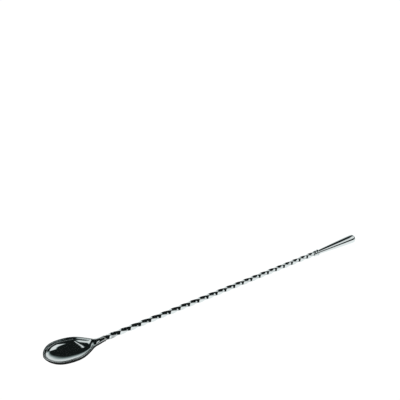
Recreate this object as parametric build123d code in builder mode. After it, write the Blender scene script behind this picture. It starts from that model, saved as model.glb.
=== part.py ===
from build123d import *
from math import atan, cos, degrees, radians, sin
import os

# A twisted bar spoon with a teardrop end, lying as it rests on a table: on the belly of
# its bowl and on its drop. X runs along the spoon from the bowl's tip to the drop, +Z is
# up, and Y = 0 is the plane of symmetry of the bowl. The origin is on the table top under
# the middle of the spoon's length. A station is a distance from the bowl's tip.

# ---- overall ----
total_length = 300.0

# ---- drop ----
drop_length = 44.4
drop_diameter = 8.0
drop_start_diameter = 4.0
drop_bow = 0.12                     # how far its side bows out from a straight cone
drop_land = 3.0                     # the cylindrical stretch at full diameter
drop_dome = 3.4                     # depth of the domed end

# ---- bowl ----
bowl_length = 40.0                  # along the rim
bowl_width = 25.1                   # across the rim
bowl_depth = 7.1                    # from the rim down to the outside of the belly
bowl_wall = 1.1
rim_climb = 5.9                     # how much higher the rim is at its tip than at its shoulder
belly_fullness = 2.3                # 2 is an ellipse, more is a boxier belly
deepest_share = 0.5                 # of the length from the tip to the deepest point
slice_angles = (0, 12, 26, 40, 55, 70, 81)

# Half of the rim's outline: share of the length from the tip, share of half the width.
rim_outline = (
    (0.043, 0.4),
    (0.205, 0.865),
    (0.43, 0.99),
    (0.655, 0.89),
    (0.872, 0.485),
    (0.965, 0.24),
)

# ---- neck, forged in one with the bowl ----
neck_length = 6.0                   # from the bowl's shoulder to the neck's end face
neck_diameter = 4.4
neck_throat_width = 5.4             # just behind the bowl's shoulder
neck_throat_share = 1.25            # its height, as a share of the axis's height
neck_throat_start = 1.0             # how far behind the shoulder
neck_root_width = 9.0               # where it runs into the back of the bowl
neck_root_height = 3.8
neck_root_depth = 5.0               # how far in front of the shoulder
neck_sag_share = 0.25               # throat and root lie this share of its height under the axis

# ---- twisted bar ----
bar_width = 3.5                     # across the flats of the square
bar_corner = 0.5
twist_pitch = 35.0                  # one full turn, so a ridge every quarter of it
twist_start = 32.0                  # how far the square is turned where the bar begins
spigot_diameter = 2.4
spigot_chamfer = 0.3
neck_spigot_length = 7.0
drop_spigot_length = 14.0           # the stretch inside the drop
braze_gap = 0.02                    # radial gap round each spigot
bore_relief = 0.5                   # how much deeper a bore is than its spigot

# ---- braze ring between neck and bar ----
braze_width = 0.7
braze_diameter = 4.8
braze_round = 0.2

# ---- collar ----
collar_length = 5.2
bead_length = 3.1
bead_diameter = 5.4
bead_end_diameter = 4.4
lip_length = 1.5
lip_diameter = 5.8
lip_round = 0.4

# ---- worked out from the sizes above ----
axis_height = drop_diameter / 2     # the drop carries the stem's axis at this height
stem_axis = Axis((0, 0, axis_height), (1, 0, 0))
neck_sag = neck_sag_share * axis_height
neck_throat_height = neck_throat_share * axis_height
neck_end = bowl_length + neck_length
drop_start = total_length - drop_length
collar_start = drop_start - collar_length
bar_start = neck_end + braze_width
spigot_radius = spigot_diameter / 2
bore_radius = spigot_radius + braze_gap

rim_tilt = degrees(atan(rim_climb / bowl_length))
fullness_power = 2 / belly_fullness

os.makedirs("parts", exist_ok=True)


def station(distance):
    """X of a point that is this far from the bowl's tip."""
    return distance - total_length / 2


def section_plane(distance, height):
    """Cross-section plane at a station: its local x is the spoon's Y, its local y is up."""
    return Plane(origin=(station(distance), 0, height), x_dir=(0, 1, 0), z_dir=(1, 0, 0))


def turned(distance, radius):
    """Point of a turned piece's profile, in the XZ plane above the stem's axis."""
    return (station(distance), axis_height + radius)


def rim_face(inset, scale):
    """The rim's outline, moved in by the inset and scaled about the deepest point."""
    length = bowl_length - 2 * inset
    half_width = bowl_width / 2 - inset
    deepest = deepest_share * bowl_length
    shares = ((0, 0), *rim_outline, (1, 0))
    side = [
        ((inset + along * length - deepest) * scale, across * half_width * scale)
        for along, across in shares
    ]
    with BuildSketch() as face:
        with BuildLine():
            Spline(*side, tangents=[(0, 1), (0.4, -1)])
            Spline(*[(x, -y) for x, y in side], tangents=[(0, -1), (0.4, 1)])
        make_face()
    return face.sketch


def belly(inset):
    """Everything below the rim, this much smaller all round, lofted through level slices."""
    with BuildPart() as shape:
        for angle in slice_angles:
            scale = cos(radians(angle)) ** fullness_power
            drop_share = sin(radians(angle)) ** fullness_power
            with BuildSketch(Plane.XY.offset(-(bowl_depth - inset) * drop_share)):
                add(rim_face(inset, scale))
        loft()
    return shape.part


# ---------------------------------------------------------------- bowl
# The dish is made level, then tilted, and laid with its belly on the table and its tip at
# station 0.
dish = belly(0)
tilt = (0, rim_tilt, 0)
tilted = dish.moved(Location((0, 0, 0), tilt)).bounding_box()
bowl_place = Location((station(0) - tilted.min.X, 0, -tilted.min.Z), tilt)

with BuildPart() as bowl:
    add(dish.moved(bowl_place))
    with BuildSketch(section_plane(neck_end, axis_height)):
        Circle(neck_diameter / 2)
    with BuildSketch(section_plane(bowl_length + neck_throat_start, axis_height - neck_sag)):
        Ellipse(neck_throat_width / 2, neck_throat_height / 2)
    with BuildSketch(section_plane(bowl_length - neck_root_depth, axis_height - neck_sag)):
        Ellipse(neck_root_width / 2, neck_root_height / 2)
    loft()
    add(belly(bowl_wall).moved(bowl_place), mode=Mode.SUBTRACT)
    with Locations(section_plane(neck_end, axis_height).location):
        Hole(radius=bore_radius, depth=neck_spigot_length + bore_relief)
bowl.part.label = "bowl"
export_step(bowl.part, "parts/bowl.step")

# ---------------------------------------------------------------- twisted bar
# A square bar wound right-handed about its own axis, turned down to a spigot at each end.
with BuildPart() as stem:
    with BuildLine(mode=Mode.PRIVATE) as guide:
        Helix(
            pitch=twist_pitch,
            height=collar_start - bar_start,
            radius=bar_width,
            center=(station(bar_start), 0, axis_height),
            direction=(1, 0, 0),
        )
    with BuildSketch(section_plane(bar_start, axis_height)):
        RectangleRounded(bar_width, bar_width, bar_corner, rotation=twist_start)
    with BuildLine() as spine:
        Line((station(bar_start), 0, axis_height), (station(collar_start), 0, axis_height))
    sweep(path=spine.wires()[0], binormal=guide.wires()[0])
    with BuildSketch(section_plane(bar_start, axis_height)):
        Circle(spigot_radius)
    extrude(amount=-braze_width - neck_spigot_length)
    with BuildSketch(section_plane(collar_start, axis_height)):
        Circle(spigot_radius)
    extrude(amount=collar_length + drop_spigot_length)
    ends = stem.faces().sort_by(Axis.X)
    chamfer(ends[0].edges() + ends[-1].edges(), length=spigot_chamfer)
stem.part.label = "stem"
export_step(stem.part, "parts/stem.step")

# ---------------------------------------------------------------- braze ring
with BuildPart() as braze_ring:
    with BuildSketch(section_plane(neck_end, axis_height)):
        Circle(braze_diameter / 2)
        Circle(bore_radius, mode=Mode.SUBTRACT)
    extrude(amount=braze_width)
    outer_edges = braze_ring.edges().filter_by(GeomType.CIRCLE).group_by(SortBy.RADIUS)[-1]
    fillet(outer_edges, radius=braze_round)
braze_ring.part.label = "braze_ring"
export_step(braze_ring.part, "parts/braze_ring.step")

# ---------------------------------------------------------------- collar
# One turned ring with a round bead towards the bar, a groove, and a lip against the drop.
bead_end = collar_start + bead_length
lip_start = drop_start - lip_length

with BuildPart() as collar:
    with BuildSketch(Plane.XZ):
        with BuildLine():
            ThreePointArc(
                turned(collar_start, bead_end_diameter / 2),
                turned(collar_start + bead_length / 2, bead_diameter / 2),
                turned(bead_end, bead_end_diameter / 2),
            )
            Polyline(
                turned(bead_end, bead_end_diameter / 2),
                turned(lip_start, bead_end_diameter / 2),
                turned(lip_start, lip_diameter / 2),
                turned(drop_start, lip_diameter / 2),
                turned(drop_start, bore_radius),
                turned(collar_start, bore_radius),
                turned(collar_start, bead_end_diameter / 2),
            )
        make_face()
    revolve(axis=stem_axis)
    lip_edges = collar.edges().filter_by(GeomType.CIRCLE).group_by(SortBy.RADIUS)[-1]
    fillet(lip_edges, radius=lip_round)
collar.part.label = "collar"
export_step(collar.part, "parts/collar.step")

# ---------------------------------------------------------------- drop
# The solid teardrop weight: it swells from the collar to a short cylindrical land, and
# ends in a low dome.
land_end = total_length - drop_dome
land_start = land_end - drop_land
drop_radius = drop_diameter / 2
mean_radius = (drop_start_diameter + drop_diameter) / 4

with BuildPart() as drop:
    with BuildSketch(Plane.XZ):
        with BuildLine():
            ThreePointArc(
                turned(drop_start, drop_start_diameter / 2),
                turned((drop_start + land_start) / 2, mean_radius + drop_bow),
                turned(land_start, drop_radius),
            )
            Line(turned(land_start, drop_radius), turned(land_end, drop_radius))
            EllipticalCenterArc(
                center=turned(land_end, 0),
                x_radius=drop_dome,
                y_radius=drop_radius,
                start_angle=0,
                arc_size=90,
            )
            Polyline(
                turned(total_length, 0),
                turned(drop_start, 0),
                turned(drop_start, drop_start_diameter / 2),
            )
        make_face()
    revolve(axis=stem_axis)
    with BuildSketch(section_plane(drop_start, axis_height)):
        Circle(bore_radius)
    extrude(amount=drop_spigot_length + bore_relief, mode=Mode.SUBTRACT)
drop.part.label = "drop"
export_step(drop.part, "parts/drop.step")
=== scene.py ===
import math

import bpy
import numpy as np
from bpy.props import FloatProperty, FloatVectorProperty, IntProperty, PointerProperty
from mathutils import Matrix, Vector


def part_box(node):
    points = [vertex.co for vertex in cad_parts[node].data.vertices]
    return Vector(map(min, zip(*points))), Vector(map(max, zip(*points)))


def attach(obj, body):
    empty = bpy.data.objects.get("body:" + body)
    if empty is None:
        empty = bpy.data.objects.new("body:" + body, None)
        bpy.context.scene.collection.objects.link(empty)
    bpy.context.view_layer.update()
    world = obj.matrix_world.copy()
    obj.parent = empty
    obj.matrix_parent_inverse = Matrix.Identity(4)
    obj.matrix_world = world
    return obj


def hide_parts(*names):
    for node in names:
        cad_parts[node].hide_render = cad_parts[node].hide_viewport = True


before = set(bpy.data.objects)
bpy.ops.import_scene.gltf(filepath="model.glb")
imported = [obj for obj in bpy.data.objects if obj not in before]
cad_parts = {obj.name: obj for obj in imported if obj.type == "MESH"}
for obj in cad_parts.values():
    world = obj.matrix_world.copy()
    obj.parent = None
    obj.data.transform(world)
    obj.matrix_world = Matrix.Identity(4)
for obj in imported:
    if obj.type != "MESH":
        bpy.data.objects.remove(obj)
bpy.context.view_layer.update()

bl_info = {
    "name": "Twisted Bar Spoon",
    "version": (1, 0, 0),
    "blender": (4, 5, 0),
    "location": "View3D > Sidebar > Bar Spoon",
    "description": "Builds a polished twisted bar spoon around its packed frame, piece by piece",
    "category": "Object",
}

MM = 0.001

BOWL_LOW, BOWL_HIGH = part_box("bowl")
RING_LOW, RING_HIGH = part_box("braze_ring")
COLLAR_LOW, COLLAR_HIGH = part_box("collar")
DROP_LOW, DROP_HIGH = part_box("drop")

TIP = BOWL_LOW.x                                     # the bowl's tip, station 0
AXIS_HEIGHT = (DROP_LOW.z + DROP_HIGH.z) / 2         # the stem's axis above the table
BORE_RADIUS = 1.22 * MM
SPIGOT_RADIUS = 1.2 * MM
NECK_SPIGOT = 7.0 * MM
DROP_SPIGOT = 14.0 * MM
BORE_RELIEF = 0.5 * MM


# ---------------------------------------------------------------- sizes and finishes to change

class BowlSettings(bpy.types.PropertyGroup):
    wall: FloatProperty(
        name="Wall", description="Thickness of the bowl's wall at its deepest point",
        default=1.1 * MM, unit="LENGTH")
    rim_width: FloatProperty(
        name="Rim width", description="Width of the flat land along the rim",
        default=1.0 * MM, unit="LENGTH")
    rim_round: FloatProperty(
        name="Rim round", description="How far the rim's rounding reaches down both sides",
        default=0.32 * MM, unit="LENGTH")
    depth: FloatProperty(
        name="Depth", description="From the rim down to the outside of the belly",
        default=6.98 * MM, unit="LENGTH")
    fullness: FloatProperty(
        name="Fullness", description="2 is an elliptical belly, more is boxier",
        default=2.3)
    rows: IntProperty(
        name="Rows", description="Mesh rows from the tip to the neck's end", default=150)
    arc_steps: IntProperty(
        name="Arc steps", description="Mesh steps across the belly", default=48)


class BarSettings(bpy.types.PropertyGroup):
    width: FloatProperty(
        name="Width", description="Across the flats of the square bar",
        default=3.5 * MM, unit="LENGTH")
    corner: FloatProperty(
        name="Corner", description="Radius of the bar's four ridges",
        default=0.5 * MM, unit="LENGTH")
    pitch: FloatProperty(
        name="Pitch", description="Length of one full turn of the twist",
        default=35.0 * MM, unit="LENGTH")
    start: FloatProperty(
        name="Start", description="How far the square is turned at the neck's end",
        default=math.radians(32.0), subtype="ANGLE")
    steps_per_turn: IntProperty(
        name="Steps per turn", description="Mesh steps in one full turn", default=60)


class TurnedSettings(bpy.types.PropertyGroup):
    facets: IntProperty(
        name="Facets", description="Mesh steps round each turned piece", default=96)
    groove_depth: FloatProperty(
        name="Groove depth", description="How far the collar's groove lies under its bead",
        default=0.55 * MM, unit="LENGTH")


class FinishSettings(bpy.types.PropertyGroup):
    steel: FloatVectorProperty(
        name="Steel", description="Colour of the polished steel", subtype="COLOR",
        default=(0.62, 0.65, 0.65), size=3, min=0.0, max=1.0)
    silver: FloatVectorProperty(
        name="Silver braze", description="Colour of the braze ring", subtype="COLOR",
        default=(0.68, 0.67, 0.63), size=3, min=0.0, max=1.0)
    roughness: FloatProperty(
        name="Roughness", description="Roughness of clean polished steel",
        default=0.045, min=0.0, max=1.0, subtype="FACTOR")
    smudges: FloatProperty(
        name="Smudges", description="How much handling has dulled the polish",
        default=0.5, min=0.0, max=1.0, subtype="FACTOR")
    scratches: FloatProperty(
        name="Scratches", description="How much the fine polishing lines show",
        default=0.5, min=0.0, max=1.0, subtype="FACTOR")


class StudioSettings(bpy.types.PropertyGroup):
    azimuth: FloatProperty(
        name="Azimuth", description="Direction the camera looks in, from +Y towards +X",
        default=math.radians(31.55965), subtype="ANGLE")
    elevation: FloatProperty(
        name="Elevation", description="How steeply the camera looks down",
        default=math.radians(30.87092), subtype="ANGLE")
    aim: FloatVectorProperty(
        name="Aim", description="Point on the table that the camera looks at",
        default=(0.06646, 0.14012, 0.0), subtype="TRANSLATION", unit="LENGTH")
    distance: FloatProperty(
        name="Distance", description="From the camera to its aim",
        default=0.62979, unit="LENGTH")
    lens: FloatProperty(
        name="Lens", description="Focal length in millimetres", default=54.0)
    darkness: FloatProperty(
        name="Darkness", description="Level of the unlit studio as the metal sees it",
        default=0.012)
    table_light: FloatProperty(
        name="Table light", description="Level of the even light that falls on the table",
        default=1.25)
    table_seen: FloatProperty(
        name="Table seen", description="How bright the burnt-out table looks to the camera",
        default=1.05)
    table_mirrored: FloatProperty(
        name="Table mirrored", description="How bright the table looks in the metal",
        default=1.25)
    # painted shade: as the metal sees it, the table is darkened round the bowl by the table's
    # material, not shadowed by the bowl
    painted_table_shade: FloatProperty(
        name="Table shade", description="How bright it looks where the bowl shades it",
        default=0.03)


# ---------------------------------------------------------------- node helpers

def add_node(tree, kind, **settings):
    """Adds a node, then sets its attributes and, under inputs, its values or links."""
    node = tree.nodes.new(kind)
    inputs = settings.pop("inputs", {})
    for key, value in settings.items():
        setattr(node, key, value)
    for key, value in inputs.items():
        if isinstance(value, bpy.types.NodeSocket):
            tree.links.new(value, node.inputs[key])
        else:
            node.inputs[key].default_value = value
    return node


def calculate(tree, operation, *values):
    """A Math node over numbers or sockets; returns its output."""
    node = add_node(tree, "ShaderNodeMath", operation=operation, inputs=dict(enumerate(values)))
    return node.outputs[0]


def new_group(name, inputs, outputs):
    """A shader node group with named float inputs and outputs, and its two end nodes."""
    group = bpy.data.node_groups.new(name, "ShaderNodeTree")
    for label, kind, default in inputs:
        socket = group.interface.new_socket(label, in_out="INPUT", socket_type=kind)
        if default is not None:
            socket.default_value = default
    for label, kind in outputs:
        group.interface.new_socket(label, in_out="OUTPUT", socket_type=kind)
    return group, group.nodes.new("NodeGroupInput"), group.nodes.new("NodeGroupOutput")


# ---------------------------------------------------------------- finishes

DULLED_TONE = 0.9                # brightness left where the polish is dulled
LINES_DULL = 0.35                # how much of that the polishing lines bring
SMUDGES_ROUGHEN, LINES_ROUGHEN, MARKS_ROUGHEN = 0.05, 0.04, 0.04
BUMP_STRENGTH, BUMP_HEIGHT = 0.03, 0.02 * MM


def polishing_lines_group():
    """Fine parallel lines that a polishing wheel leaves, drawn out along one direction."""
    name = "Polishing lines"
    if name in bpy.data.node_groups:
        return bpy.data.node_groups[name]
    group, inside, outside = new_group(
        name,
        (("Vector", "NodeSocketVector", None), ("Fineness", "NodeSocketFloat", 9000.0),
         ("Amount", "NodeSocketFloat", 0.5)),
        (("Lines", "NodeSocketFloat"),))
    fine = add_node(group, "ShaderNodeTexNoise", inputs={
        "Vector": inside.outputs["Vector"], "Scale": inside.outputs["Fineness"],
        "Detail": 3.0, "Roughness": 0.6})
    broad = add_node(group, "ShaderNodeTexNoise", inputs={
        "Vector": inside.outputs["Vector"],
        "Scale": calculate(group, "MULTIPLY", inside.outputs["Fineness"], 0.23),
        "Detail": 2.0, "Roughness": 0.5})
    both = calculate(group, "MULTIPLY", fine.outputs["Fac"], broad.outputs["Fac"])
    lines = add_node(group, "ShaderNodeMapRange", interpolation_type="SMOOTHSTEP", inputs={
        "Value": both, "From Min": 0.2, "From Max": 0.42, "To Min": 0.0,
        "To Max": inside.outputs["Amount"]})
    group.links.new(lines.outputs["Result"], outside.inputs["Lines"])
    return group


def smudges_group():
    """Soft patches where fingers and cloths have left the polish less bright."""
    name = "Smudges"
    if name in bpy.data.node_groups:
        return bpy.data.node_groups[name]
    group, inside, outside = new_group(
        name,
        (("Vector", "NodeSocketVector", None), ("Size", "NodeSocketFloat", 120.0),
         ("Amount", "NodeSocketFloat", 0.5)),
        (("Mask", "NodeSocketFloat"),))
    patches = add_node(group, "ShaderNodeTexNoise", inputs={
        "Vector": inside.outputs["Vector"], "Scale": inside.outputs["Size"],
        "Detail": 4.0, "Roughness": 0.55, "Distortion": 0.6})
    mask = add_node(group, "ShaderNodeMapRange", interpolation_type="SMOOTHSTEP", inputs={
        "Value": patches.outputs["Fac"], "From Min": 0.42, "From Max": 0.72, "To Min": 0.0,
        "To Max": inside.outputs["Amount"]})
    group.links.new(mask.outputs["Result"], outside.inputs["Mask"])
    return group


def handling_marks_group():
    """Sparse hairline scratches that run at chance angles."""
    name = "Handling marks"
    if name in bpy.data.node_groups:
        return bpy.data.node_groups[name]
    group, inside, outside = new_group(
        name,
        (("Vector", "NodeSocketVector", None), ("Spacing", "NodeSocketFloat", 260.0),
         ("Amount", "NodeSocketFloat", 0.5)),
        (("Marks", "NodeSocketFloat"),))
    bend = add_node(group, "ShaderNodeTexNoise", inputs={
        "Vector": inside.outputs["Vector"], "Scale": 90.0, "Detail": 1.0})
    bent = add_node(group, "ShaderNodeVectorMath", operation="MULTIPLY_ADD", inputs={
        0: bend.outputs["Color"], 1: (0.02, 0.02, 0.02), 2: inside.outputs["Vector"]})
    cells = add_node(group, "ShaderNodeTexVoronoi", feature="DISTANCE_TO_EDGE", inputs={
        "Vector": bent.outputs["Vector"], "Scale": inside.outputs["Spacing"]})
    thin = add_node(group, "ShaderNodeMapRange", interpolation_type="SMOOTHSTEP", inputs={
        "Value": cells.outputs["Distance"], "From Min": 0.0, "From Max": 0.012,
        "To Min": inside.outputs["Amount"], "To Max": 0.0})
    group.links.new(thin.outputs["Result"], outside.inputs["Marks"])
    return group


def metal_material(name, colour, settings, grain, turn=(0.0, 0.0, 0.0), shine=1.0):
    """Polished metal; grain stretches the polishing lines, as a scale along X, Y and Z."""
    material = bpy.data.materials.new(name)
    material.use_nodes = True
    tree = material.node_tree
    shader = tree.nodes["Principled BSDF"]
    shader.inputs["Metallic"].default_value = 1.0
    place = add_node(tree, "ShaderNodeTexCoord").outputs["Object"]
    along = add_node(tree, "ShaderNodeMapping", inputs={
        "Vector": place, "Rotation": turn, "Scale": grain})
    lines = add_node(tree, "ShaderNodeGroup", node_tree=polishing_lines_group(), inputs={
        "Vector": along.outputs["Vector"], "Amount": settings.scratches})
    smudges = add_node(tree, "ShaderNodeGroup", node_tree=smudges_group(), inputs={
        "Vector": place, "Amount": settings.smudges})
    marks = add_node(tree, "ShaderNodeGroup", node_tree=handling_marks_group(), inputs={
        "Vector": place, "Amount": settings.scratches})
    dulled = calculate(tree, "MULTIPLY_ADD", lines.outputs["Lines"], LINES_DULL,
                       smudges.outputs["Mask"])
    tone = add_node(tree, "ShaderNodeMix", data_type="RGBA", inputs={
        "Factor": dulled,
        "A": (*colour, 1.0),
        "B": (*(DULLED_TONE * c for c in colour), 1.0)})
    tree.links.new(tone.outputs["Result"], shader.inputs["Base Color"])
    rough = calculate(tree, "MULTIPLY_ADD", smudges.outputs["Mask"], SMUDGES_ROUGHEN,
                      settings.roughness / shine)
    rough = calculate(tree, "MULTIPLY_ADD", lines.outputs["Lines"], LINES_ROUGHEN, rough)
    rough = calculate(tree, "MULTIPLY_ADD", marks.outputs["Marks"], MARKS_ROUGHEN, rough)
    tree.links.new(rough, shader.inputs["Roughness"])
    bump = add_node(tree, "ShaderNodeBump", inputs={
        "Strength": BUMP_STRENGTH, "Distance": BUMP_HEIGHT, "Height": lines.outputs["Lines"]})
    tree.links.new(bump.outputs["Normal"], shader.inputs["Normal"])
    return material


# ---------------------------------------------------------------- mesh helpers

def start_clean():
    """Object mode with nothing selected, as every piece begins."""
    if bpy.context.object and bpy.context.object.mode != "OBJECT":
        bpy.ops.object.mode_set(mode="OBJECT")
    bpy.ops.object.select_all(action="DESELECT")


def spline_through(points, first, last, count):
    """Evenly spaced points on a smooth curve through the points, with its end directions."""
    points = np.array(points, float)
    knots = np.concatenate(([0.0], np.cumsum(np.linalg.norm(np.diff(points, axis=0), axis=1))))
    size = len(points)
    system, right = np.zeros((size, size)), np.zeros((size, points.shape[1]))
    system[0, 0] = system[-1, -1] = 1.0
    right[0], right[-1] = first, last
    steps = np.diff(knots)
    for k in range(1, size - 1):
        before, after = steps[k - 1], steps[k]
        system[k, k - 1:k + 2] = after, 2 * (before + after), before
        right[k] = 3 * (after * (points[k] - points[k - 1]) / before
                        + before * (points[k + 1] - points[k]) / after)
    slopes = np.linalg.solve(system, right)
    fine = np.linspace(0.0, knots[-1], 40 * count)
    part = np.clip(np.searchsorted(knots, fine, side="right") - 1, 0, size - 2)
    t = ((fine - knots[part]) / steps[part])[:, None]
    step = steps[part][:, None]
    curve = ((2 * t**3 - 3 * t**2 + 1) * points[part] + (t**3 - 2 * t**2 + t) * step * slopes[part]
             + (3 * t**2 - 2 * t**3) * points[part + 1] + (t**3 - t**2) * step * slopes[part + 1])
    run = np.concatenate(([0.0], np.cumsum(np.linalg.norm(np.diff(curve, axis=0), axis=1))))
    even = np.linspace(0.0, run[-1], count + 1)
    return np.stack([np.interp(even, run, curve[:, k]) for k in range(points.shape[1])], axis=1)


def ease(value, start, end):
    """0 before start, 1 after end, and smooth between them."""
    t = min(1.0, max(0.0, (value - start) / (end - start)))
    return t * t * (3 - 2 * t)


DOUBLES = 0.002 * MM             # vertices nearer than this are one
DEGENERATE = 0.001 * MM          # edges shorter than this are dissolved
POINT_RADIUS = 0.01 * MM         # stands for a point on the axis
NEARBY = 0.01 * MM               # how far from an X a vertex may be to be selected there
SMOOTH_ANGLE = math.radians(35.0)


def finish_mesh():
    """Joins doubles, turns faces outwards and smooths the edited object, back in object mode."""
    bpy.ops.mesh.select_all(action="SELECT")
    bpy.ops.mesh.remove_doubles(threshold=DOUBLES)
    bpy.ops.mesh.dissolve_degenerate(threshold=DEGENERATE)
    bpy.ops.mesh.normals_make_consistent(inside=False)
    bpy.ops.object.mode_set(mode="OBJECT")
    bpy.ops.object.shade_smooth_by_angle(angle=SMOOTH_ANGLE)


def complete(piece, node, material):
    """Checks a finished piece, lays its place into its mesh and ties it to the frame."""
    start_clean()
    piece.select_set(True)
    bpy.context.view_layer.objects.active = piece
    bpy.ops.object.transform_apply(location=True, rotation=True, scale=True)
    piece.data.materials.clear()
    piece.data.materials.append(material)
    open_edges = open_edge_count(piece.data)
    if open_edges:
        raise RuntimeError(f"{piece.name} has {open_edges} open edges")
    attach(piece, "root")
    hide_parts(node)


def open_edge_count(mesh):
    """How many edges don't have exactly two faces."""
    uses = {}
    for polygon in mesh.polygons:
        for key in polygon.edge_keys:
            uses[key] = uses.get(key, 0) + 1
    return sum(1 for count in uses.values() if count != 2)


def turned_piece(name, profile, facets, closed=False):
    """A piece turned about the stem's axis: a circle extruded and resized from step to step.

    The profile is a list of (x, radius); a zero radius closes it to a point, and a closed
    profile comes back to its first ring.
    """
    start_clean()
    x, radius = profile[0]
    bpy.ops.mesh.primitive_circle_add(
        vertices=facets, radius=max(radius, POINT_RADIUS), fill_type="NOTHING",
        location=(x, 0.0, AXIS_HEIGHT), rotation=(0.0, math.pi / 2, 0.0))
    piece = bpy.context.object
    piece.name = name
    bpy.ops.object.transform_apply(location=True, rotation=True, scale=True)
    bpy.ops.object.mode_set(mode="EDIT")
    bpy.ops.mesh.select_all(action="SELECT")
    if radius == 0.0:
        bpy.ops.mesh.edge_face_add()
    radius = max(radius, POINT_RADIUS)
    steps = profile[1:] + (profile[:1] if closed else [])
    for next_x, next_radius in steps:
        next_radius = max(next_radius, POINT_RADIUS)
        bpy.ops.mesh.extrude_region_move(TRANSFORM_OT_translate={"value": (next_x - x, 0.0, 0.0)})
        ratio = next_radius / radius
        bpy.ops.transform.resize(value=(1.0, ratio, ratio),
                                 center_override=(next_x, 0.0, AXIS_HEIGHT))
        x, radius = next_x, next_radius
    return piece


# ---------------------------------------------------------------- bowl and neck

# Station from the tip and half width, of the rim and then of the neck, in millimetres
OUTLINE = ((0.2, 0.0), (1.82, 5.02), (8.2, 10.85), (17.2, 12.42), (26.2, 11.17), (34.9, 6.1),
           (38.4, 3.75), (41.0, 2.72), (43.5, 2.35), (46.0, 2.2))
RIM_TIP_HEIGHT = 10.717          # of the rim at the tip
RIM_SLOPE = 0.1475               # how fast the rim falls towards the shoulder
RIM_COSINE = 1 / math.hypot(1.0, RIM_SLOPE)
BOWL_LENGTH = 40.0
DEEPEST = 20.0                   # station of the deepest point
NECK_BLEND = (33.0, 38.5)        # stations between which the bowl's shape turns into the neck's
LAND_BLEND = (35.0, 41.0)        # stations between which the rim and the hollow run out
RIM_STEPS = 10
RIM_SQUARENESS = 0.6             # 1 is a round rim, less is a squarer one
# Station and height of the neck's side line, underside and top
NECK_SIDE = ((33.0, 5.85), (37.0, 5.2), (39.0, 4.55), (41.0, 3.7), (43.5, 3.65), (46.0, 4.0))
NECK_UNDERSIDE = ((33.0, 0.35), (36.0, 0.5), (38.5, 0.62), (41.0, 0.75), (43.5, 1.15),
                  (46.0, 1.8))
NECK_TOP = ((33.0, 7.4), (38.0, 6.6), (41.0, 5.9), (43.5, 5.95), (46.0, 6.2))


def along(table, station):
    """Height from a table of stations and heights, smooth between its rows."""
    xs, ys = zip(*table)
    slopes = np.gradient(np.array(ys), np.array(xs))
    k = int(np.clip(np.searchsorted(xs, station) - 1, 0, len(xs) - 2))
    step = xs[k + 1] - xs[k]
    t = min(1.0, max(0.0, (station - xs[k]) / step))
    return float((2 * t**3 - 3 * t**2 + 1) * ys[k] + (t**3 - 2 * t**2 + t) * step * slopes[k]
                 + (3 * t**2 - 2 * t**3) * ys[k + 1] + (t**3 - t**2) * step * slopes[k + 1])


def dish_depth(station, end_inset, depth, fullness):
    """Depth under the rim of a dish that runs from tip to shoulder, less the inset."""
    half = BOWL_LENGTH / 2 - end_inset
    share = min(1.0, abs(station - DEEPEST) / half)
    return depth * RIM_COSINE * (1 - share**fullness) ** (1 / fullness)


def belly_arc(station, half, side, depth, lean, power, steps):
    """From one side line to the other, down through the belly, as (station, y, z)."""
    points = []
    for k in range(steps + 1):
        angle = math.pi * k / steps
        across = math.copysign(abs(math.cos(angle)) ** power, math.cos(angle))
        down = math.sin(angle) ** power * depth if 0 < k < steps else 0.0
        points.append((station - lean * max(down, 0.0), half * across, side - down))
    return points


def rim_arc(outer, inner, crown, way):
    """Over the rim between two (station, half, z); way is 1 inwards at +Y, -1 outwards at -Y."""
    points = []
    for k in range(1, RIM_STEPS):
        angle = math.pi * k / RIM_STEPS
        turn = math.copysign(abs(math.cos(angle)) ** RIM_SQUARENESS, math.cos(angle))
        share = 0.5 * (1 - way * turn)
        lift = crown * math.sin(angle) ** RIM_SQUARENESS
        points.append((outer[0] + (inner[0] - outer[0]) * share,
                       way * (outer[1] + (inner[1] - outer[1]) * share),
                       outer[2] + (inner[2] - outer[2]) * share + lift))
    return points


def bowl_section(index, curve, settings):
    """One closed loop round the bowl or neck, as a list of (station, y, z) in millimetres."""
    wall, rim, crown = settings.wall / MM, settings.rim_width / MM, settings.rim_round / MM
    depth, fullness = settings.depth / MM, settings.fullness
    station, half = curve[index]
    ahead, behind = curve[min(index + 1, len(curve) - 1)], curve[max(index - 1, 0)]
    direction = (ahead - behind) / np.linalg.norm(ahead - behind)
    outward = np.array((-direction[1], direction[0])) if index else np.array((-1.0, 0.0))
    neck = ease(station, *NECK_BLEND)
    rise = ease(station, *LAND_BLEND)
    inner_station, inner_half = np.array((station, half)) - rim * (1 - rise) * outward
    crown *= 1 - rise
    power = (2 / fullness) * (1 - neck) + neck

    def side_height(s):
        rim_height = RIM_TIP_HEIGHT - RIM_SLOPE * s
        return rim_height * (1 - neck) + along(NECK_SIDE, s) * neck

    side = side_height(station) - crown
    below = dish_depth(station, 0.0, depth - crown, fullness) * (1 - neck)
    below += neck * (side - along(NECK_UNDERSIDE, station))
    inner_side = side_height(inner_station) - crown
    inside = dish_depth(inner_station, rim, depth - wall - crown, fullness) * (1 - rise)
    inside += rise * (inner_side - along(NECK_TOP, inner_station))
    lean = RIM_SLOPE * (1 - neck)
    outer, inner = (station, half, side), (inner_station, inner_half, inner_side)
    steps = settings.arc_steps
    return [*belly_arc(station, -half, side, below, lean, power, steps),
            *rim_arc(outer, inner, crown, 1),
            *belly_arc(inner_station, inner_half, inner_side, inside, lean, power, steps),
            *rim_arc(outer, inner, crown, -1)]


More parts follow.
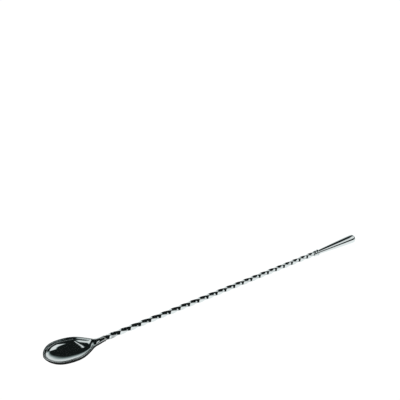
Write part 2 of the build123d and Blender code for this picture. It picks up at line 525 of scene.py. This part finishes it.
class BARSPOON_OT_bowl(bpy.types.Operator):
    """Forge the bowl and its neck: a rolled-up grid, closed at the tip and bored at the neck"""
    bl_idname = "barspoon.bowl"
    bl_label = "Bowl and neck"

    def execute(self, context):
        settings = context.scene.barspoon_bowl
        curve = spline_through(OUTLINE, (0.0, 1.0), (1.0, 0.0), settings.rows)
        loops = [bowl_section(k, curve, settings) for k in range(len(curve))]
        across = len(loops[0])
        start_clean()
        bpy.ops.mesh.primitive_grid_add(
            x_subdivisions=across, y_subdivisions=settings.rows, size=2.0)
        piece = context.object
        piece.name = "forged_bowl"
        for vertex in piece.data.vertices:
            column = round((vertex.co.x + 1.0) / 2.0 * across) % across
            row = round((vertex.co.y + 1.0) / 2.0 * settings.rows)
            station, y, z = loops[row][column]
            vertex.co = (TIP + station * MM, y * MM, z * MM)
        bpy.ops.object.mode_set(mode="EDIT")
        bpy.ops.mesh.select_all(action="SELECT")
        bpy.ops.mesh.remove_doubles(threshold=DOUBLES)
        bpy.ops.mesh.select_all(action="DESELECT")
        bpy.ops.mesh.select_mode(type="EDGE")
        bpy.ops.mesh.select_non_manifold(
            extend=False, use_wire=False, use_boundary=True, use_multi_face=False,
            use_non_contiguous=False, use_verts=False)
        neck_radius = OUTLINE[-1][1] * MM
        centre = (BOWL_HIGH.x, 0.0, AXIS_HEIGHT)
        for step, ratio in ((0.0, BORE_RADIUS / neck_radius), (-NECK_SPIGOT - BORE_RELIEF, 1.0),
                            (0.0, 0.5)):
            bpy.ops.mesh.extrude_region_move(TRANSFORM_OT_translate={"value": (step, 0.0, 0.0)})
            bpy.ops.transform.resize(value=(1.0, ratio, ratio), center_override=centre)
        bpy.ops.mesh.merge(type="CENTER")
        finish_mesh()
        complete(piece, "bowl", metal_material(
            "bowl_mirror_steel", context.scene.barspoon_finish.steel,
            context.scene.barspoon_finish, grain=(0.05, 1.0, 1.0)))
        return {"FINISHED"}


# ---------------------------------------------------------------- twisted bar

class BARSPOON_OT_twisted_bar(bpy.types.Operator):
    """Twist the square bar: its section is extruded step by step and turned at each"""
    bl_idname = "barspoon.twisted_bar"
    bl_label = "Twisted bar"

    def execute(self, context):
        settings = context.scene.barspoon_bar
        start, end = RING_HIGH.x, COLLAR_LOW.x
        count = round((end - start) / settings.pitch * settings.steps_per_turn)
        centre = (start, 0.0, AXIS_HEIGHT)
        start_clean()
        bpy.ops.mesh.primitive_plane_add(size=settings.width, location=centre,
                                         rotation=(0.0, math.pi / 2, 0.0))
        piece = context.object
        piece.name = "twisted_bar"
        bpy.ops.object.transform_apply(location=True, rotation=True, scale=True)
        bpy.ops.object.mode_set(mode="EDIT")
        bpy.ops.mesh.select_all(action="SELECT")
        bpy.ops.mesh.bevel(offset=settings.corner, segments=5, affect="VERTICES")
        bpy.ops.mesh.select_all(action="SELECT")
        turn_about_axis(settings.start)
        bpy.ops.mesh.delete(type="ONLY_FACE")
        bpy.ops.mesh.select_all(action="SELECT")
        step, twist = (end - start) / count, 2 * math.pi * (end - start) / settings.pitch / count
        for _ in range(count):
            bpy.ops.mesh.extrude_region_move(TRANSFORM_OT_translate={"value": (step, 0.0, 0.0)})
            turn_about_axis(twist)
        self.spigot(end, COLLAR_HIGH.x + DROP_SPIGOT, settings)
        bpy.ops.mesh.select_all(action="DESELECT")
        select_at(piece, start)
        self.spigot(start, RING_LOW.x - NECK_SPIGOT, settings)
        finish_mesh()
        complete(piece, "stem", metal_material(
            "bar_bright_steel", context.scene.barspoon_finish.steel,
            context.scene.barspoon_finish, grain=(0.05, 1.0, 1.0)))
        return {"FINISHED"}

    @staticmethod
    def spigot(face, end, settings):
        """Carries the selected end loop in to a round spigot and closes it."""
        bpy.ops.mesh.extrude_region_move(TRANSFORM_OT_translate={"value": (0.0, 0.0, 0.0)})
        ratio = 2 * SPIGOT_RADIUS / settings.width
        bpy.ops.transform.resize(value=(1.0, ratio, ratio),
                                 center_override=(face, 0.0, AXIS_HEIGHT))
        bpy.ops.mesh.extrude_region_move(
            TRANSFORM_OT_translate={"value": (end - face, 0.0, 0.0)})
        bpy.ops.mesh.edge_face_add()


def turn_about_axis(angle):
    """Turns the selection right-handed about the stem's axis."""
    bpy.ops.transform.rotate(value=-angle, orient_axis="X", orient_type="GLOBAL",
                             center_override=(0.0, 0.0, AXIS_HEIGHT))


def select_at(piece, x):
    """Selects the vertices of the edited piece that lie at this X."""
    bpy.ops.object.mode_set(mode="OBJECT")
    for vertex in piece.data.vertices:
        vertex.select = abs(vertex.co.x - x) < NEARBY
    bpy.ops.object.mode_set(mode="EDIT")
    bpy.ops.mesh.select_mode(type="VERT")


# ---------------------------------------------------------------- turned pieces

def arc(centre, radius_x, radius_r, start, end, count):
    """Profile points on an ellipse about centre, from one angle to another in degrees."""
    angles = (math.radians(start + (end - start) * k / count) for k in range(count + 1))
    return [(centre[0] + radius_x * math.cos(a), centre[1] + radius_r * math.sin(a))
            for a in angles]


class BARSPOON_OT_braze_ring(bpy.types.Operator):
    """Turn the silver braze ring between the neck and the bar"""
    bl_idname = "barspoon.braze_ring"
    bl_label = "Braze ring"

    def execute(self, context):
        facets = context.scene.barspoon_turned.facets
        radius, rounding = (RING_HIGH.z - RING_LOW.z) / 2, 0.25 * MM
        low, high = RING_LOW.x, RING_HIGH.x
        profile = [(low, BORE_RADIUS)]
        profile += arc((low + rounding, radius - rounding), rounding, rounding, 180.0, 90.0, 5)
        profile += arc((high - rounding, radius - rounding), rounding, rounding, 90.0, 0.0, 5)
        profile += [(high, BORE_RADIUS)]
        piece = turned_piece("silver_braze_ring", profile, facets, closed=True)
        finish_mesh()
        complete(piece, "braze_ring", metal_material(
            "silver_braze", context.scene.barspoon_finish.silver,
            context.scene.barspoon_finish, grain=(1.0, 0.1, 0.1), shine=0.5))
        return {"FINISHED"}


class BARSPOON_OT_collar(bpy.types.Operator):
    """Turn the collar: a round bead, a groove, and a lip against the drop"""
    bl_idname = "barspoon.collar"
    bl_label = "Collar"

    def execute(self, context):
        settings = context.scene.barspoon_turned
        low, high = COLLAR_LOW.x, COLLAR_HIGH.x
        lip_radius, bead_radius = (COLLAR_HIGH.z - COLLAR_LOW.z) / 2, 2.7 * MM
        bead_length, lip_length, rounding = 3.1 * MM, 1.5 * MM, 0.4 * MM
        bead_end = bead_radius - settings.groove_depth
        profile = [(low, BORE_RADIUS)]
        profile += arc((low + bead_length / 2, bead_end), bead_length / 2,
                       settings.groove_depth, 180.0, 0.0, 16)
        lip_start = high - lip_length
        profile += [(lip_start, bead_end)]
        profile += arc((lip_start + rounding, lip_radius - rounding), rounding, rounding,
                       180.0, 90.0, 6)
        profile += arc((high - rounding, lip_radius - rounding), rounding, rounding,
                       90.0, 0.0, 6)
        profile += [(high, BORE_RADIUS)]
        piece = turned_piece("turned_collar", profile, settings.facets, closed=True)
        finish_mesh()
        complete(piece, "collar", metal_material(
            "collar_bright_steel", context.scene.barspoon_finish.steel,
            context.scene.barspoon_finish, grain=(1.0, 0.1, 0.1)))
        return {"FINISHED"}


class BARSPOON_OT_drop(bpy.types.Operator):
    """Turn the solid teardrop weight with its cylindrical land and domed end"""
    bl_idname = "barspoon.drop"
    bl_label = "Drop"
    side_steps = 40

    def execute(self, context):
        start, end = DROP_LOW.x, DROP_HIGH.x
        radius, start_radius = (DROP_HIGH.z - DROP_LOW.z) / 2, 2.0 * MM
        dome, land, bow = 3.4 * MM, 3.0 * MM, 0.12 * MM
        land_end = end - dome
        land_start = land_end - land
        bore_end = start + DROP_SPIGOT + BORE_RELIEF
        profile = [(bore_end, 0.0), (bore_end, BORE_RADIUS), (start, BORE_RADIUS)]
        for k in range(self.side_steps + 1):
            t = k / self.side_steps
            profile.append((start + (land_start - start) * t,
                            start_radius + (radius - start_radius) * t + 4 * bow * t * (1 - t)))
        profile += arc((land_end, 0.0), dome, radius, 90.0, 0.0, 24)
        piece = turned_piece("teardrop_weight", profile, context.scene.barspoon_turned.facets)
        finish_mesh()
        complete(piece, "drop", metal_material(
            "drop_mirror_steel", context.scene.barspoon_finish.steel,
            context.scene.barspoon_finish, grain=(1.0, 0.1, 0.1)))
        return {"FINISHED"}


# ---------------------------------------------------------------- studio

def soft_edge(group, offset, size, softness):
    """1 within half the size of the middle, 0 outside it, with a soft step between them."""
    half = calculate(group, "MULTIPLY", size, 0.5)
    edge = add_node(group, "ShaderNodeMapRange", interpolation_type="SMOOTHSTEP", inputs={
        "Value": calculate(group, "SUBTRACT", offset, half),
        "From Min": calculate(group, "MULTIPLY", softness, -1.0),
        "From Max": softness,
        "To Min": 1.0,
        "To Max": 0.0})
    return edge.outputs["Result"]


def softbox_group():
    """A soft-edged lit rectangle on the sky, placed by azimuth and elevation in degrees."""
    group, inside, outside = new_group(
        "Softbox",
        tuple((name, "NodeSocketFloat", default) for name, default in (
            ("Azimuth", 0.0), ("Elevation", 45.0), ("Width", 30.0), ("Height", 20.0),
            ("Softness", 5.0), ("Strength", 1.0))),
        (("Light", "NodeSocketFloat"),))
    ray = add_node(group, "ShaderNodeTexCoord").outputs["Generated"]
    axes = add_node(group, "ShaderNodeSeparateXYZ", inputs={0: ray})
    azimuth = calculate(group, "DEGREES",
                        calculate(group, "ARCTAN2", axes.outputs["X"], axes.outputs["Y"]))
    elevation = calculate(group, "DEGREES", calculate(group, "ARCSINE", axes.outputs["Z"]))
    turn = calculate(group, "SUBTRACT", azimuth, inside.outputs["Azimuth"])
    turn = calculate(group, "ABSOLUTE", calculate(group, "WRAP", turn, 180.0, -180.0))
    rise = calculate(group, "SUBTRACT", elevation, inside.outputs["Elevation"])
    lit = inside.outputs["Strength"]
    for offset, size in ((turn, "Width"), (calculate(group, "ABSOLUTE", rise), "Height")):
        edge = soft_edge(group, offset, inside.outputs[size], inside.outputs["Softness"])
        lit = calculate(group, "MULTIPLY", lit, edge)
    group.links.new(lit, outside.inputs["Light"])
    return group


def strip_lamp_group():
    """A long thin lamp overhead that runs roughly in the Y direction, as seen along a ray."""
    group, inside, outside = new_group(
        "Strip lamp",
        tuple((name, "NodeSocketFloat", default) for name, default in (
            ("Across", 0.0), ("Slant", 0.3), ("Along", 0.0), ("Width", 0.05),
            ("Length", 1.0), ("Softness", 0.015), ("Strength", 1.0))),
        (("Light", "NodeSocketFloat"),))
    ray = add_node(group, "ShaderNodeTexCoord").outputs["Generated"]
    axes = add_node(group, "ShaderNodeSeparateXYZ", inputs={0: ray})
    lit = calculate(group, "MULTIPLY", inside.outputs["Strength"],
                    calculate(group, "GREATER_THAN", axes.outputs["Z"], 0.0))
    line = calculate(group, "MULTIPLY_ADD", axes.outputs["Y"], inside.outputs["Slant"],
                     inside.outputs["Across"])
    for axis, middle, size in (("X", line, "Width"), ("Y", inside.outputs["Along"], "Length")):
        offset = calculate(group, "ABSOLUTE", calculate(
            group, "SUBTRACT", axes.outputs[axis], middle))
        edge = soft_edge(group, offset, inside.outputs[size], inside.outputs["Softness"])
        lit = calculate(group, "MULTIPLY", lit, edge)
    group.links.new(lit, outside.inputs["Light"])
    return group


# azimuth from +Y towards +X, elevation, width, height, softness, strength
SOFTBOXES = (
    (30.0, 10.0, 100.0, 34.0, 8.0, 1.0),
    (-115.0, 30.0, 75.0, 34.0, 6.0, 1.05),
    (114.0, 42.0, 62.0, 24.0, 3.0, 1.1),
)


# Place and size as X and Y of a ray's direction; the slant is X gained for each unit of Y
STRIP_LAMP = {"Across": 0.01, "Slant": 0.28, "Along": -0.12, "Width": 0.06, "Length": 1.25}
# How far from the middle of the bowl the table carries its painted shade, and where that painted
# shade ends
PAINTED_SHADE_REACH = (28.0 * MM, 40.0 * MM)
DARK_TINT = (0.75, 1.0, 1.0, 1.0)
LIT_TINT = (0.97, 1.0, 1.0, 1.0)
WHITE = (1.0, 1.0, 1.0, 1.0)
TABLE_SIZE = 8.0


def studio_world(settings):
    """Pale to the eye, even on the table, and a dark studio with softboxes in the metal."""
    world = bpy.data.worlds.new("studio")
    bpy.context.scene.world = world
    world.use_nodes = True
    tree = world.node_tree
    tree.nodes.clear()
    group = softbox_group()
    light = settings.darkness
    for azimuth, elevation, width, height, softness, strength in SOFTBOXES:
        box = add_node(tree, "ShaderNodeGroup", node_tree=group, inputs={
            "Azimuth": azimuth, "Elevation": elevation, "Width": width, "Height": height,
            "Softness": softness, "Strength": strength})
        light = calculate(tree, "ADD", box.outputs["Light"], light)
    strip = add_node(tree, "ShaderNodeGroup", node_tree=strip_lamp_group(), inputs=STRIP_LAMP)
    light = calculate(tree, "ADD", strip.outputs["Light"], light)
    tint = add_node(tree, "ShaderNodeMix", data_type="RGBA", inputs={
        "Factor": calculate(tree, "MINIMUM", light, 1.0),
        "A": DARK_TINT, "B": LIT_TINT})
    mirrored = add_node(tree, "ShaderNodeBackground", inputs={
        "Color": tint.outputs["Result"], "Strength": light})
    even = add_node(tree, "ShaderNodeBackground", inputs={
        "Color": WHITE, "Strength": settings.table_light})
    path = add_node(tree, "ShaderNodeLightPath")
    mix = add_node(tree, "ShaderNodeMixShader", inputs={
        0: path.outputs["Is Glossy Ray"], 1: even.outputs[0], 2: mirrored.outputs[0]})
    add_node(tree, "ShaderNodeOutputWorld", inputs={"Surface": mix.outputs[0]})


def table_material(settings):
    """Matt white table top: burnt out to the eye, and dimmer in the metal lying on it, where a
    painted shade darkens it round the bowl.
    """
    material = bpy.data.materials.new("white_table")
    material.use_nodes = True
    tree = material.node_tree
    shader = tree.nodes["Principled BSDF"]
    shader.inputs["Roughness"].default_value = 0.9
    shader.inputs["Specular IOR Level"].default_value = 0.0
    place = add_node(tree, "ShaderNodeTexCoord").outputs["Object"]
    grain = add_node(tree, "ShaderNodeTexNoise", inputs={
        "Vector": place, "Scale": 3.0, "Detail": 2.0})
    tone = add_node(tree, "ShaderNodeMix", data_type="RGBA", inputs={
        "Factor": grain.outputs["Fac"],
        "A": (0.92, 0.92, 0.92, 1.0),
        "B": (0.95, 0.95, 0.95, 1.0)})
    tree.links.new(tone.outputs["Result"], shader.inputs["Base Color"])
    seen = add_node(tree, "ShaderNodeEmission", inputs={
        "Color": WHITE, "Strength": settings.table_seen})
    # painted shade: the table's glow in the metal falls to the shade level near the bowl's middle
    # and stands in for the bowl's shadow
    away = add_node(tree, "ShaderNodeVectorMath", operation="DISTANCE", inputs={
        0: place, 1: (TIP + DEEPEST * MM, 0.0, 0.0)})
    painted_shade_level = add_node(tree, "ShaderNodeMapRange", interpolation_type="SMOOTHSTEP", inputs={
        "Value": away.outputs["Value"], "From Min": PAINTED_SHADE_REACH[0], "From Max": PAINTED_SHADE_REACH[1],
        "To Min": settings.painted_table_shade, "To Max": settings.table_mirrored})
    mirrored = add_node(tree, "ShaderNodeEmission", inputs={
        "Color": LIT_TINT, "Strength": painted_shade_level.outputs["Result"]})
    path = add_node(tree, "ShaderNodeLightPath")
    mirror_mix = add_node(tree, "ShaderNodeMixShader", inputs={
        0: path.outputs["Is Glossy Ray"], 1: shader.outputs[0], 2: mirrored.outputs[0]})
    seen_mix = add_node(tree, "ShaderNodeMixShader", inputs={
        0: path.outputs["Is Camera Ray"], 1: mirror_mix.outputs[0], 2: seen.outputs[0]})
    tree.links.new(seen_mix.outputs[0], tree.nodes["Material Output"].inputs["Surface"])
    return material


def place_camera(settings):
    """The camera, aimed at its point on the table from its azimuth and elevation."""
    azimuth, elevation = settings.azimuth, settings.elevation
    look = Vector((math.sin(azimuth) * math.cos(elevation),
                   math.cos(azimuth) * math.cos(elevation), -math.sin(elevation)))
    bpy.ops.object.camera_add(location=Vector(settings.aim) - look * settings.distance,
                              rotation=look.to_track_quat("-Z", "Y").to_euler())
    camera = bpy.context.object
    camera.data.lens = settings.lens
    camera.data.clip_start = 0.01
    bpy.context.scene.camera = camera


class BARSPOON_OT_stage(bpy.types.Operator):
    """Set up the white table, the studio and the camera"""
    bl_idname = "barspoon.stage"
    bl_label = "Stage"

    def execute(self, context):
        settings = context.scene.barspoon_studio
        context.scene.view_settings.view_transform = "Standard"
        start_clean()
        bpy.ops.mesh.primitive_plane_add(size=TABLE_SIZE)
        table = context.object
        table.name = "table"
        table.data.materials.append(table_material(settings))
        studio_world(settings)
        place_camera(settings)
        return {"FINISHED"}


# ---------------------------------------------------------------- panel and running

BUILDERS = (BARSPOON_OT_bowl, BARSPOON_OT_braze_ring, BARSPOON_OT_twisted_bar,
            BARSPOON_OT_collar, BARSPOON_OT_drop, BARSPOON_OT_stage)


class BARSPOON_PT_panel(bpy.types.Panel):
    bl_label = "Bar Spoon"
    bl_idname = "BARSPOON_PT_panel"
    bl_space_type = "VIEW_3D"
    bl_region_type = "UI"
    bl_category = "Bar Spoon"

    def draw(self, context):
        for builder in BUILDERS:
            self.layout.operator(builder.bl_idname)


SETTINGS = {
    "barspoon_bowl": BowlSettings,
    "barspoon_bar": BarSettings,
    "barspoon_turned": TurnedSettings,
    "barspoon_finish": FinishSettings,
    "barspoon_studio": StudioSettings,
}


def register():
    for settings in SETTINGS.values():
        bpy.utils.register_class(settings)
    for builder in BUILDERS:
        bpy.utils.register_class(builder)
    bpy.utils.register_class(BARSPOON_PT_panel)
    for name, settings in SETTINGS.items():
        setattr(bpy.types.Scene, name, PointerProperty(type=settings))


def unregister():
    for name in SETTINGS:
        delattr(bpy.types.Scene, name)
    bpy.utils.unregister_class(BARSPOON_PT_panel)
    for builder in reversed(BUILDERS):
        bpy.utils.unregister_class(builder)
    for settings in reversed(SETTINGS.values()):
        bpy.utils.unregister_class(settings)


def main():
    register()
    bpy.ops.barspoon.bowl()
    bpy.ops.barspoon.braze_ring()
    bpy.ops.barspoon.twisted_bar()
    bpy.ops.barspoon.collar()
    bpy.ops.barspoon.drop()
    bpy.ops.barspoon.stage()


if __name__ == "__main__":
    main()
